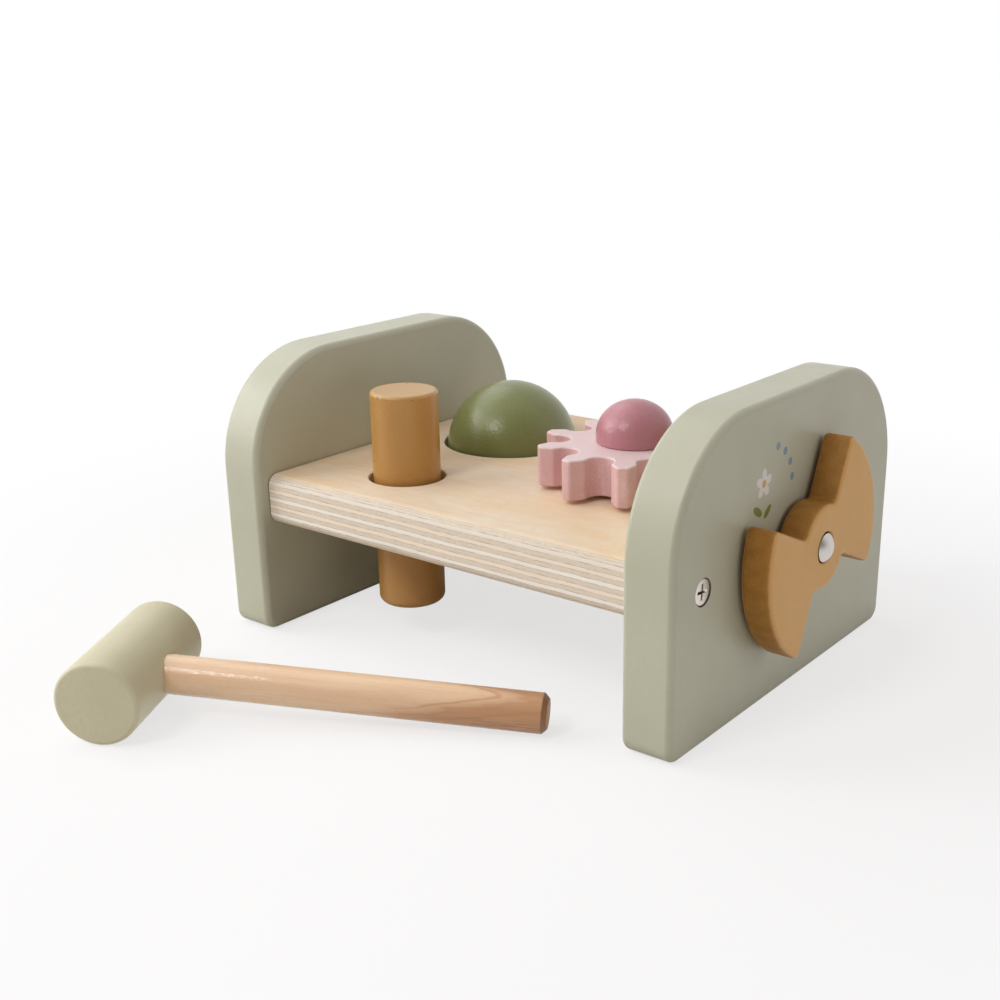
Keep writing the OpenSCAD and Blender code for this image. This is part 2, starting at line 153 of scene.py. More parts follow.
def mesh_of(form, turn=Matrix()):
    """Mesh in metres from a form in millimetres."""
    verts, faces = form
    mesh = bpy.data.meshes.new("form")
    mesh.from_pydata([(turn @ Vector(v)) * MM for v in verts], [], faces)
    mesh.validate()
    return mesh


def settle(made):
    """Makes the result of a piece's modifiers its own mesh."""
    graph = bpy.context.evaluated_depsgraph_get()
    mesh = bpy.data.meshes.new_from_object(
        made.evaluated_get(graph), preserve_all_data_layers=True, depsgraph=graph
    )
    made.modifiers.clear()
    made.data = mesh


def add(name, data):
    """New object in the scene."""
    made = bpy.data.objects.new(name, data)
    bpy.context.scene.collection.objects.link(made)
    return made


def cut(made, tools):
    """Takes the tools' forms out of a piece."""
    helpers = []
    for tool in tools:
        helper = add("tool", tool)
        step = made.modifiers.new("cut", "BOOLEAN")
        step.operation = "DIFFERENCE"
        step.solver = "EXACT"
        step.object = helper
        helpers.append(helper)
    settle(made)
    for helper in helpers:
        bpy.data.objects.remove(helper)


def piece(name, mesh, finish, body, nodes, tools=(), sharp=38):
    """A detailed piece that stands for CAD nodes and rides on their body."""
    made = add(name, mesh)
    if tools:
        cut(made, tools)
    made.data.materials.clear()
    made.data.materials.append(finish)
    made.data.shade_smooth()
    made.data.set_sharp_from_angle(angle=radians(sharp))
    weigh = made.modifiers.new("normals", "WEIGHTED_NORMAL")
    weigh.keep_sharp = True
    settle(made)
    made.data.name = name
    made.matrix_world = IN_BENCH
    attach(made, body)
    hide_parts(*nodes)
    return made


def srgb(red, green, blue):
    """Linear colour from the values that a picture shows."""
    parts = [c / 255 for c in (red, green, blue)]
    return [c / 12.92 if c <= 0.04045 else ((c + 0.055) / 1.055) ** 2.4 for c in parts] + [1]


class Nodes:
    """A node tree, with short calls for the nodes that this scene uses."""

    def __init__(self, tree):
        self.tree = tree

    def node(self, kind, **settings):
        made = self.tree.nodes.new(kind)
        for key, value in settings.items():
            setattr(made, key, value)
        return made

    def feed(self, socket, value):
        """Links a socket to another socket, or sets it to a constant."""
        if isinstance(value, bpy.types.NodeSocket):
            self.tree.links.new(value, socket)
        else:
            socket.default_value = value

    def calc(self, operation, one, two=0.0, three=0.0, clamp=False):
        made = self.node("ShaderNodeMath", operation=operation, use_clamp=clamp)
        for socket, value in zip(made.inputs, (one, two, three)):
            self.feed(socket, value)
        return made.outputs[0]

    def times(self, one, two):
        return self.calc("MULTIPLY", one, two)

    def minus(self, one, two):
        return self.calc("SUBTRACT", one, two)

    def absolute(self, value):
        return self.calc("ABSOLUTE", value)

    def parts(self, vector):
        """The three numbers of a vector."""
        made = self.node("ShaderNodeSeparateXYZ")
        self.feed(made.inputs[0], vector)
        return made.outputs

    def measure(self, operation, one, two=(0, 0, 0)):
        """The length of a vector, or the dot product of two."""
        made = self.node("ShaderNodeVectorMath", operation=operation)
        self.feed(made.inputs[0], one)
        self.feed(made.inputs[1], two)
        return made.outputs["Value"]

    def span(self, value, low, high, to_low=0.0, to_high=1.0):
        """Takes a value's run from low to high smoothly to another run, and holds it at both ends."""
        made = self.node("ShaderNodeMapRange", interpolation_type="SMOOTHSTEP")
        for socket, number in zip(made.inputs, (value, low, high, to_low, to_high)):
            self.feed(socket, number)
        return made.outputs[0]

    def band(self, value, low, rise, fall, high):
        """Mask that is 1 where a value is from rise to fall, and 0 below low and above high."""
        return self.times(self.span(value, low, rise), self.span(value, fall, high, 1, 0))

    def line(self, value, place, core, rim):
        """Mask that is 1 where a value is within core of a place, and 0 where it is more than rim off."""
        return self.span(self.absolute(self.minus(value, place)), core, rim, 1, 0)

    def mix(self, kind, places, factor, one, two):
        """Mix node, with the places of the sockets that a kind of value uses."""
        made = self.node("ShaderNodeMix", data_type=kind)
        for place, value in zip(places, (factor, one, two)):
            self.feed(made.inputs[place], value)
        return made

    def blend(self, factor, one, two):
        """Colour between two colours."""
        return self.mix("RGBA", (0, 6, 7), factor, one, two).outputs[2]

    def between(self, factor, one, two):
        """Number between two numbers."""
        return self.mix("FLOAT", (0, 2, 3), factor, one, two).outputs[0]


class Finish(Nodes):
    """A material, with the patterns that its look is made of."""

    def __init__(self, name, middle=(0, 0, 0), turn=(0, 0, 0)):
        """Coordinates are millimetres in the bench's frame, or one that is moved and turned, in degrees."""
        self.material = bpy.data.materials.new(name)
        self.material.use_nodes = True
        super().__init__(self.material.node_tree)
        self.shader = self.tree.nodes["Principled BSDF"]
        here = self.node("ShaderNodeTexCoord")
        self.normal = here.outputs["Normal"]
        in_mm = self.node("ShaderNodeMapping", vector_type="TEXTURE")
        self.feed(in_mm.inputs["Vector"], here.outputs["Object"])
        self.feed(in_mm.inputs["Location"], Vector(middle) * MM)
        self.feed(in_mm.inputs["Rotation"], [radians(angle) for angle in turn])
        self.feed(in_mm.inputs["Scale"], (MM, MM, MM))
        self.place = in_mm.outputs[0]
        self.x, self.y, self.z = self.parts(self.place)

    def stretched(self, size, shift=(0, 0, 0)):
        """Coordinates in which size, in millimetres along each axis, is one unit."""
        made = self.node("ShaderNodeVectorMath", operation="MULTIPLY_ADD")
        for socket, value in zip(made.inputs, (self.place, tuple(1 / s for s in size), shift)):
            self.feed(socket, value)
        return made.outputs[0]

    def noise(self, size, detail=2.0, rough=0.5, warp=0.0, shift=(0, 0, 0)):
        """Noise whose blots are about size millimetres, one number or one for each axis."""
        size = size if isinstance(size, tuple) else (size, size, size)
        made = self.node("ShaderNodeTexNoise")
        self.feed(made.inputs["Vector"], self.stretched(size, shift))
        self.feed(made.inputs["Scale"], 1.0)
        self.feed(made.inputs["Detail"], detail)
        self.feed(made.inputs["Roughness"], rough)
        self.feed(made.inputs["Distortion"], warp)
        return made.outputs[0]

    def specks(self, apart, size, share, shift=(0, 0, 0)):
        """Mask of small round specks, in a share of the cells that lie about apart millimetres apart."""
        made = self.node("ShaderNodeTexVoronoi", feature="F1")
        self.feed(made.inputs["Vector"], self.stretched((apart, apart, apart), shift))
        self.feed(made.inputs["Scale"], 1.0)
        dot = self.span(made.outputs["Distance"], size / apart * 0.6, size / apart, 1, 0)
        chance = self.node("ShaderNodeSeparateColor")
        self.feed(chance.inputs[0], made.outputs["Color"])
        return self.times(dot, self.calc("LESS_THAN", chance.outputs[0], share))

    def tinge(self, tint, colour, value, low, high, least=0.0, most=1.0):
        """Mixes in a colour, from its least share where a value is low to its most where it is high."""
        return self.blend(self.span(value, low, high, least, most), tint, colour)

    def stain(self, tint, colour, mask, share):
        """Mixes in a share of a colour where a mask is 1."""
        return self.blend(self.times(mask, share), tint, colour)

    def bump(self, height, depth, below=None):
        """Relief of depth millimetres between the lowest and highest value of height."""
        made = self.node("ShaderNodeBump")
        self.feed(made.inputs["Height"], height)
        self.feed(made.inputs["Strength"], 1.0)
        self.feed(made.inputs["Distance"], depth * MM)
        if below is not None:
            self.feed(made.inputs["Normal"], below)
        return made.outputs[0]

    def close(self, colour, roughness, normal, specular=0.5, **others):
        """Puts the last values on the shader and gives the material."""
        others.update(Base_Color=colour, Roughness=roughness, Normal=normal, Coat_Normal=normal)
        others.update(Specular_IOR_Level=specular)
        for name, value in others.items():
            self.feed(self.shader.inputs[name.replace("_", " ")], value)
        return self.material


# Sizes of the paints' patterns, in millimetres
CLOUD, MOTTLE, PEEL, SHEEN, WAVE = 28, 1.6, 0.9, 4, 11
SPECK_APART, SPECK_R = 9, 0.17


def paint_base(paint, colour, shade, speck, peel=PEEL, depth=0.012, low=0.36, high=0.48, waves=0.06):
    """Satin paint: faint clouds and mottling, rare specks, orange peel and long shallow waves.

    Peel is the orange peel's size, depth its depth and waves the waves' depth, all in millimetres.
    Low and high are the bounds of the roughness.
    """
    tint = paint.tinge(colour, shade, paint.noise(CLOUD, detail=3), 0.3, 0.7)
    tint = paint.tinge(tint, shade, paint.noise(MOTTLE, detail=3, rough=0.6), 0.25, 0.75, 0, 0.35)
    skin = paint.noise(peel, detail=2, rough=0.6)
    tint = paint.tinge(tint, shade, skin, 0.3, 0.6, 0.6, 0)
    tint = paint.stain(tint, speck, paint.specks(SPECK_APART, SPECK_R, 0.3), 0.6)
    relief = paint.bump(paint.noise(WAVE, detail=2), waves)
    relief = paint.bump(skin, depth, relief)
    rough = paint.span(paint.noise(SHEEN, detail=3), 0.2, 0.8, low, high)
    return tint, relief, rough


def sage_paint():
    """Paint of the end panels, with painted shade down in the gap round each screw's head."""
    paint = Finish("sage_paint")
    tint, relief, rough = paint_base(
        paint, srgb(198, 200, 178), srgb(192, 193, 170), srgb(123, 118, 97), low=0.34, high=0.44
    )
    aside = paint.minus(paint.absolute(paint.y), SCREW_Y)
    above = paint.minus(paint.z, FIXING_Z)
    squares = [paint.calc("POWER", off, 2.0) for off in (aside, above)]
    away = paint.calc("SQRT", paint.calc("ADD", *squares))
    # Painted shade: dark brown in the gap round each screw's head
    tint = paint.tinge(tint, srgb(68, 60, 46), away, SCREW_HEAD_R + 0.3, SCREW_HEAD_R + 0.5, 1, 0)
    return paint, tint, relief, rough


def spot(paint, flat, y, z, long_r, short_r, turn):
    """Mask of an ellipse on the plane of Y and Z, with a crisp printed rim."""
    moved = paint.node("ShaderNodeMapping", vector_type="TEXTURE")
    paint.feed(moved.inputs["Vector"], flat)
    paint.feed(moved.inputs["Location"], (y, z, 0))
    paint.feed(moved.inputs["Rotation"], (0, 0, radians(turn)))
    paint.feed(moved.inputs["Scale"], (long_r, short_r, 1))
    rim = 0.08 / short_r
    return paint.span(paint.measure("LENGTH", moved.outputs[0]), 1 - rim, 1 + rim, 1, 0)


def panel_material():
    """Sage paint, with nothing on it."""
    paint, tint, relief, rough = sage_paint()
    return paint.close(tint, rough, relief, specular=0.45)


def printed_panel_material():
    """Sage paint with a small printed flower, two leaves and a row of dots on the outer face."""
    paint, tint, relief, rough = sage_paint()
    flat = paint.node("ShaderNodeCombineXYZ")
    paint.feed(flat.inputs[0], paint.y)
    paint.feed(flat.inputs[1], paint.z)
    outside = paint.calc("GREATER_THAN", paint.x, OUTER_X - 1)
    white, yolk = srgb(232, 232, 226), srgb(226, 168, 84)
    leaf, blue = srgb(121, 129, 44), srgb(126, 154, 172)
    # Place, half length, half width, turn in degrees and colour of each mark
    flower_y, flower_z, petal_reach = -21.5, 75.5, 2.7
    marks = []
    for turn in range(18, 378, 72):
        y = flower_y + petal_reach * cos(radians(turn))
        z = flower_z + petal_reach * sin(radians(turn))
        marks.append((y, z, 2.1, 1.45, turn, white))
    marks.append((flower_y, flower_z, 1.25, 1.25, 0, yolk))
    marks.append((flower_y - 3.4, flower_z - 8.2, 3.1, 1.3, 148, leaf))
    marks.append((flower_y + 2.9, flower_z - 9.6, 2.7, 1.15, 40, leaf))
    for y, z in ((-13.4, 85.6), (-8.6, 83.0), (-5.0, 78.8), (-3.2, 73.6)):
        marks.append((y, z, 1.3, 1.3, 0, blue))
    for *shape, colour in marks:
        mask = paint.times(spot(paint, flat.outputs[0], *shape), outside)
        worn = paint.span(paint.noise(0.5, detail=2), 0.3, 0.42, 0.9, 1)
        tint = paint.stain(tint, colour, mask, worn)
    return paint.close(tint, rough, relief, specular=0.45)


def spray_material(name, face, shade, side, side_shade):
    """Sprayed ochre paint: pale and even on the faces across X, darker and finely mottled on the sides."""
    paint = Finish(name)
    tint, relief, rough = paint_base(paint, face, shade, srgb(120, 84, 46), peel=0.8, low=0.4, high=0.52)
    edge = paint.span(paint.absolute(paint.parts(paint.normal)[0]), 0.35, 0.9, 1, 0)
    blots, soaked = paint.noise(0.7, detail=4, rough=0.6), paint.noise((5, 4, 4), detail=3)
    soaked = paint.calc("MULTIPLY_ADD", blots, 0.45, paint.times(soaked, 0.55))
    tint = paint.blend(edge, tint, paint.tinge(side, side_shade, soaked, 0.36, 0.64))
    # Lighter here and there along the rims: paint rubbed thin, and a painted highlight
    rim = paint.times(edge, paint.minus(1.0, edge))
    rubbed_and_glint = paint.span(paint.noise(1.6, detail=4, rough=0.65, shift=(2, 7, 1)), 0.42, 0.66, 0.15, 1.0)
    tint = paint.stain(tint, srgb(240, 208, 160), rim, rubbed_and_glint)
    return paint.close(tint, rough, relief, specular=0.3)


def peg_material():
    """Ochre paint on a turned rod, with a paler end and a rim that is worn in a few places."""
    paint = Finish("peg_paint")
    colour, shade = srgb(195, 148, 77), srgb(187, 137, 67)
    tint, relief, rough = paint_base(
        paint, colour, shade, srgb(85, 55, 25), peel=0.75, depth=0.13, low=0.27, high=0.35
    )
    grain = paint.noise((0.9, 0.9, 26), detail=3)
    tint = paint.tinge(tint, srgb(172, 119, 53), grain, 0.4, 0.7, 0, 0.07)
    head = PEG_FOOT_Z + PEG_LENGTH
    tint = paint.stain(tint, srgb(206, 166, 101), paint.span(paint.z, head - 1.6, head - 0.4), 0.6)
    rim = paint.band(paint.z, head - 1.9, head - 1.2, head - 0.8, head - 0.2)
    worn = paint.span(paint.noise(1.3, detail=2, shift=(3, 1, 7)), 0.63, 0.68)
    tint = paint.stain(tint, srgb(137, 92, 40), rim, worn)
    relief = paint.bump(grain, 0.004, relief)
    return paint.close(tint, rough, relief, specular=0.4, Coat_Weight=0.22, Coat_Roughness=0.13)


def coated_paint(name, colour, shade, speck, coat, **skin):
    """Paint under a thin clear coat, as on the ball and the knob."""
    paint = Finish(name)
    tint, relief, rough = paint_base(paint, colour, shade, speck, low=0.33, high=0.39, **skin)
    return paint.close(tint, rough, relief, specular=0.42, Coat_Weight=coat, Coat_Roughness=0.16)


def gear_paint(name, colour, shade, speck, top):
    """Sprayed paint with a strong orange peel, and a painted sheen that makes the faces across Z paler."""
    paint = Finish(name)
    tint, relief, rough = paint_base(paint, colour, shade, speck, peel=0.75, depth=0.2, low=0.38, high=0.48)
    up = paint.parts(paint.normal)[2]
    grain = paint.noise(0.75, detail=3, rough=0.6, shift=(3, 8, 5))
    tint = paint.tinge(tint, shade, grain, 0.32, 0.62, 0.35, 0)
    # Painted sheen: the faces that look up are paler
    tint = paint.tinge(tint, top, up, 0.5, 0.95)
    # Painted highlight on the rims between the sides and the top
    tint = paint.stain(tint, srgb(242, 222, 218), paint.band(up, 0.1, 0.4, 0.8, 0.95), 0.45)
    return paint.close(tint, rough, relief, specular=0.45)


def mallet_paint():
    """Sage paint brushed along the mallet head, with a few shallow dents."""
    paint = Finish("mallet_paint", MALLET_MIDDLE, (0, 0, MALLET_TURN))
    tint, relief, rough = paint_base(paint, srgb(215, 211, 179), srgb(207, 202, 170), srgb(137, 128, 95))
    brush = paint.noise((1.2, 26, 1.2), detail=4, rough=0.6)
    tint = paint.tinge(tint, srgb(200, 193, 158), brush, 0.35, 0.7, 0, 0.2)
    relief = paint.bump(brush, 0.02, relief)
    dents = paint.noise((2.5, 2.5, 7), detail=1, shift=(5, 2, 9))
    relief = paint.bump(paint.span(dents, 0.7, 0.76, 1, 0), 0.05, relief)
    return paint.close(tint, rough, relief, specular=0.45)


# Heights in the plywood: the light plies' spacing, the middle of one and where the topmost starts. From the
# board's middle: the glue under the face veneers, and where the veneers start
PLY_SPACING, PLY_MIDDLE, TOP_PLY, VENEER_GLUE, VENEER_START = 2.92, 50.8, 54.8, 7.95, 8.4
# Half of a light ply's height, as a share of the spacing
PLY_HALF = 0.236


def plywood_material():
    """Birch plywood: thin face veneers above and below, and plies of turning grain between them."""
    wood = Finish("birch_ply")
    # Height with the slight waves of pressed veneer
    wave = wood.noise((34, 34, 400), detail=2)
    height = wood.calc("MULTIPLY_ADD", wave, 0.6, wood.minus(wood.z, 0.3))
    # Distance from the middle of the nearest light ply, from 0 to a half of the spacing
    turns = wood.calc("DIVIDE", wood.minus(height, PLY_MIDDLE), PLY_SPACING)
    which = wood.calc("ROUND", turns)
    apart = wood.absolute(wood.minus(turns, which))
    odd = wood.absolute(wood.calc("MODULO", which, 2))
    light = wood.blend(odd, srgb(255, 250, 240), srgb(253, 238, 218))
    long_grain = wood.noise((24, 24, 0.4), detail=4, rough=0.6)
    light = wood.tinge(light, srgb(243, 231, 213), long_grain, 0.42, 0.75, 0, 0.55)
    light = wood.tinge(light, srgb(232, 218, 199), height, TOP_PLY, TOP_PLY + 0.8, 0, 0.5)
    # Cross plies show short pores
    pores = wood.noise((1.2, 1.2, 0.2), detail=3, rough=0.7)
    dark = wood.tinge(srgb(239, 228, 210), srgb(224, 211, 190), pores, 0.35, 0.65)
    pits = wood.span(wood.noise((1.1, 1.1, 0.13), detail=2), 0.64, 0.72)
    dark = wood.stain(dark, srgb(180, 162, 136), pits, 0.25)
    plies = wood.tinge(light, dark, apart, 0.215, 0.25)
    # Thin broken glue lines between plies
    ragged = wood.noise((4, 4, 0.9), detail=3, rough=0.6)
    glue = wood.line(apart, PLY_HALF, 0.02, 0.055)
    glue = wood.times(glue, wood.span(ragged, 0.38, 0.64, 0.2, 0.92))
    glue_colour = srgb(153, 136, 115)
    plies = wood.stain(plies, glue_colour, glue, 0.72)
    # The rounded rim at the top is a little darker, it took up more lacquer
    plies = wood.tinge(plies, srgb(178, 159, 134), wood.z, BOARD_TOP - 5, BOARD_TOP - 1, 0, 0.15)
    # Face veneers, with a glue line under each
    from_mid = wood.absolute(wood.minus(height, BOARD_MID))
    under = wood.line(from_mid, VENEER_GLUE, 0.06, 0.2)
    plies = wood.stain(plies, glue_colour, under, wood.span(ragged, 0.38, 0.64, 0.06, 0.34))
    broad = wood.noise((60, 34, 20), detail=2)
    face = wood.tinge(srgb(246, 231, 206), srgb(242, 219, 184), broad, 0.38, 0.62)
    patches = wood.noise((30, 17, 20), detail=3, shift=(0.3, 1.7, 0))
    face = wood.tinge(face, srgb(241, 207, 162), patches, 0.5, 0.68, 0, 0.6)
    clouds = wood.noise((7, 4, 4), detail=4, rough=0.6)
    face = wood.tinge(face, srgb(234, 209, 175), clouds, 0.35, 0.7, 0, 0.35)
    grain = wood.noise((34, 1.5, 8), detail=4, rough=0.6, warp=0.3)
    face = wood.tinge(face, srgb(230, 202, 166), grain, 0.42, 0.72, 0, 0.2)
    fine = wood.noise((2.2, 0.5, 1), detail=3, rough=0.6, shift=(4, 4, 0))
    face = wood.tinge(face, srgb(219, 189, 153), fine, 0.5, 0.75, 0, 0.3)
    # Specks of pale filler along the joints with the panels
    aside = wood.absolute(wood.x)
    joint = wood.span(aside, INNER_X - 1.2, INNER_X - 0.9)
    filler = wood.specks(2.2, 0.42, 0.4, shift=(1, 5, 2))
    face = wood.stain(face, srgb(246, 247, 243), joint, filler)
    tint = wood.tinge(plies, face, from_mid, VENEER_START, VENEER_START + 0.35)
    # Dirt and shadow in the joints
    seam = wood.span(aside, INNER_X - 0.5, INNER_X - 0.3)
    tint = wood.stain(tint, srgb(92, 72, 50), seam, 0.75)
    relief = wood.bump(pores, 0.03)
    relief = wood.bump(fine, 0.015, relief)
    relief = wood.bump(glue, -0.05, relief)
    rough = wood.span(clouds, 0.2, 0.8, 0.46, 0.58)
    return wood.close(tint, rough, relief, specular=0.35)


# Tongue of pale wood on the handle: the angle in radians and the reach of its tip, how far its line falls
# back to both sides and how far it sways, and how round the tip is
TIP_TURN, TIP_REACH, TONGUE_SLOPE, TONGUE_SWAY, TONGUE_BEND = 1.15, 120.0, 40.0, 9.0, 0.7


def handle_material():
    """Lacquered pale wood: fine fibres, and a tongue of pale wood that ends in darker growth."""
    wood = Finish("lacquered_beech", MALLET_MIDDLE, (0, HANDLE_LEAN, MALLET_TURN))
    broad = wood.noise((60, 5, 5), detail=2)
    tint = wood.tinge(srgb(248, 217, 181), srgb(241, 205, 168), broad, 0.35, 0.65)
    fibre = wood.noise((20, 0.6, 0.6), detail=4, rough=0.6)
    tint = wood.tinge(tint, srgb(224, 181, 138), fibre, 0.42, 0.75, 0, 0.35)
    fleck = wood.noise((2.2, 0.5, 0.5), detail=2, shift=(7, 1, 3))
    tint = wood.tinge(tint, srgb(224, 178, 136), fleck, 0.6, 0.75, 0, 0.3)
    # How far each place lies past the tongue's end, on its own line along the handle
    around = wood.calc("ARCTAN2", wood.z, wood.times(wood.y, -1.0))
    off = wood.absolute(wood.calc("WRAP", wood.minus(around, TIP_TURN), pi, -pi))
    back_by = wood.calc("DIVIDE", wood.times(off, off), wood.calc("ADD", off, TONGUE_BEND))
    sway = wood.noise((16, 2.5, 2.5), detail=3)
    past = wood.calc("MULTIPLY_ADD", sway, TONGUE_SWAY, wood.x)
    past = wood.calc("MULTIPLY_ADD", back_by, TONGUE_SLOPE, past)
    past = wood.minus(past, TONGUE_SWAY / 2 + TIP_REACH)
    growth = wood.times(wood.span(past, -10, 18), wood.span(wood.x, 66, 104, 0.05, 1))
    tint = wood.stain(tint, srgb(194, 141, 98), growth, 0.8)
    rings = wood.calc("SINE", wood.calc("MULTIPLY_ADD", sway, TONGUE_SWAY, wood.times(past, 0.35)))
    rings = wood.span(rings, 0, 1, 0, 0.2)
    tint = wood.stain(tint, srgb(178, 121, 76), rings, wood.span(past, 2, 8))
    edge = wood.span(wood.absolute(past), 0, 2.2, 0.45, 0)
    tint = wood.stain(tint, srgb(193, 125, 74), edge, wood.span(wood.x, 84, 104, 0.15, 1))
    # Purple-brown streaks low down near the end
    streak = wood.noise((12, 0.7, 0.7), detail=4, rough=0.65, shift=(0, 3, 5))
    streak = wood.times(wood.span(streak, 0.46, 0.62), wood.span(wood.x, 96, 116))
    streak = wood.times(streak, wood.span(wood.z, -3.5, 2.5, 1, 0))
    tint = wood.stain(tint, srgb(156, 114, 94), streak, 0.6)
    # The chamfer at the end is darker
    end = HANDLE_REACH
    ring = wood.band(wood.x, end - 2.0, end - 1.5, end - 0.25, end - 0.05)
    tint = wood.stain(tint, srgb(146, 103, 74), ring, 0.75)
    relief = wood.bump(fibre, 0.008)
    relief = wood.bump(wood.noise((1.8, 1.1, 1.1), detail=2), 0.08, relief)
    rough = wood.span(wood.noise(2.5, detail=3), 0.3, 0.7, 0.36, 0.46)
    # Lacquer thick near the head and thin past the middle, broken by the fibres under it
    broken = wood.span(wood.noise((1.9, 1.0, 1.0), detail=2, shift=(2, 5, 8)), 0.43, 0.56, 0.15, 1)
    lacquer = wood.times(broken, wood.span(wood.x, 34, 72, 0.62, 0.15))
    return wood.close(tint, rough, relief, specular=0.36, Coat_Weight=lacquer, Coat_Roughness=0.1)


def beech_material():
    """Bare fluted beech of the hidden dowels."""
    wood = Finish("beech")
    fibre = wood.noise((18, 0.8, 0.8), detail=4)
    tint = wood.tinge(srgb(218, 186, 150), srgb(196, 158, 118), fibre, 0.3, 0.7)
    return wood.close(tint, 0.7, wood.bump(fibre, 0.08))


def grained_material(name, one, two, size, low, high, depth):
    """Moulded rubber or nylon: two close colours and a fine even grain."""
    finish = Finish(name)
    grain = finish.noise(size, detail=3)
    rough = finish.span(grain, 0.3, 0.7, low, high)
    return finish.close(finish.blend(grain, one, two), rough, finish.bump(grain, depth))


def metal_material(name, bright, dull, grain_size, low, high, scuffed=0.5):
    """Metal with fine turned or brushed lines and small scuffs."""
    finish = Finish(name)
    lines = finish.noise(grain_size, detail=4, rough=0.6)
    tint = finish.tinge(bright, dull, finish.noise(1.2, detail=3), 0.5, 0.7, 0, scuffed)
    rough = finish.span(lines, 0.3, 0.7, low, high)
    return finish.close(tint, rough, finish.bump(lines, 0.002), Metallic=1.0)


def screw_material(name, axis, low, high):
    """Nickel with painted shade between two places along an axis, down in the cross recess."""
    finish = Finish(name)
    lines = finish.noise(0.5, detail=4, rough=0.6)
    tint = finish.tinge(srgb(224, 219, 211), srgb(206, 199, 190), lines, 0.35, 0.7, 0, 0.4)
    out = finish.span({"x": finish.x, "z": finish.z}[axis], low, high)
    # Painted shade: brownish dark down in the cross recess
    tint = finish.blend(out, srgb(152, 135, 120), tint)
    rough = finish.span(lines, 0.3, 0.7, 0.2, 0.28)
    return finish.close(tint, rough, finish.bump(lines, 0.006), Metallic=1.0)


# Outlines of the flat pieces

def slab_outline(middle, depth, low, high, foot, top, foot_steps, top_steps):
    """Rectangle from front to back and up. Its bottom corners have the radius foot and its top ones top."""
    front, back = middle - depth / 2, middle + depth / 2
    points = arc(back - foot, low + foot, foot, -90, 0, foot_steps)
    points += arc(back - top, high - top, top, 0, 90, top_steps)
    points += arc(front + top, high - top, top, 90, 180, top_steps)
    points += arc(front + foot, low + foot, foot, 180, 270, foot_steps)
    return points


def rounded(corners, steps=5):
    """Outline whose corners, given as x, y and radius, become arcs. A radius of 0 leaves the point."""
    points = []
    for i, (x, y, radius) in enumerate(corners):
        if not radius:
            points.append((x, y))
            continue
        here = Vector((x, y))
        back = (Vector(corners[i - 1][:2]) - here).normalized()
        on = (Vector(corners[(i + 1) % len(corners)][:2]) - here).normalized()
        half = back.angle(on) / 2
        start, end = here + back * radius / tan(half), here + on * radius / tan(half)
        middle = here + (back + on).normalized() * radius / sin(half)
        for step in range(steps + 1):
            chord = start.lerp(end, step / steps) - middle
            points.append(tuple(middle + chord.normalized() * radius))
    return points


def gear_outline():
    """Gear with flared teeth, whose tips have three facets, and round valleys."""
    pitch = 360 / GEAR_TEETH
    half_pitch = radians(pitch / 2)
    neck_y = NECK[1] * cos(half_pitch) - NECK[0] * sin(half_pitch)
    neck_x = NECK[0] * cos(half_pitch) + NECK[1] * sin(half_pitch)
    centre = (neck_x**2 + neck_y**2 - VALLEY_R**2) / (2 * (neck_x - VALLEY_R))
    half_arc = degrees(atan2(-neck_y, centre - neck_x))
    valley = arc(centre, 0, centre - VALLEY_R, 180 + half_arc, 180 - half_arc, 14)[1:-1]
    tooth = [(*NECK, NECK_ROUND), (*SHOULDER, SHOULDER_ROUND), (GEAR_R, TIP_W / 2, TIP_ROUND)]
    tooth = [(x, -y, r) for x, y, r in tooth] + tooth[::-1]
    corners = []
    for number in range(GEAR_TEETH):
        angle = GEAR_TURN + pitch * number
        for points, turn in ((tooth, angle), ([(x, y, 0) for x, y in valley], angle + pitch / 2)):
            c, s = cos(radians(turn)), sin(radians(turn))
            corners += [(x * c - y * s, x * s + y * c, r) for x, y, r in points]
    return rounded(corners, 4)


def spinner_outline():
    """Two blades on a hub, with soft tips and soft inner corners."""
    tip_r, inner_r = 2.1, 1.8
    tip_reach, inner_reach = SPINNER_R - tip_r, HUB_R + inner_r
    tip_turn = degrees(asin(tip_r / tip_reach))
    inner_turn = degrees(asin(inner_r / inner_reach))

    def soft(reach, angle, radius, start, end, steps):
        """Arc whose centre lies at a reach and an angle from the hub's middle."""
        x, y = reach * cos(radians(angle)), reach * sin(radians(angle))
        return arc(x, y, radius, start, end, steps)

    points = []
    for start in (BLADE_TURN, BLADE_TURN + 180):
        end, onward = start + BLADE_SPAN, start + 180
        points += soft(tip_reach, start + tip_turn, tip_r, start - 90, start + tip_turn, 6)[:-1]
        points += arc(0, 0, SPINNER_R, start + tip_turn, end - tip_turn, 36)
        points += soft(tip_reach, end - tip_turn, tip_r, end - tip_turn, end + 90, 6)[1:]
        points += soft(inner_reach, end + inner_turn, inner_r, end + 270, end + 180 + inner_turn, 5)
        points += arc(0, 0, HUB_R, end + inner_turn, onward - inner_turn, 24)[1:]
        last = onward - inner_turn
        points += soft(inner_reach, last, inner_r, onward + 180 - inner_turn, onward + 90, 5)[1:]
    return points


# Tools that cut the holes

def bore(radius, low, high, count):
    """Plain round hole about Z, from one height to another."""
    return revolve([(0, low), (radius, low), (radius, high), (0, high)], count)


def ring_hole(hole_r, groove_r):
    """Through hole with softened mouths and a groove for a ring halfway up."""
    soft, over = 0.6, 1
    low, high = BOARD_BASE, BOARD_TOP
    groove_low, groove_high = BOARD_MID - GROOVE_H / 2, BOARD_MID + GROOVE_H / 2
    flare_low = arc(hole_r + soft, low + soft, soft, 270, 180, 5)
    flare_high = arc(hole_r + soft, high - soft, soft, 180, 90, 5)
    profile = [(0, low - over), (hole_r + soft, low - over)] + flare_low
    profile += [(hole_r, groove_low), (groove_r, groove_low), (groove_r, groove_high), (hole_r, groove_high)]
    profile += flare_high + [(hole_r + soft, high + over), (0, high + over)]
    return revolve(profile)


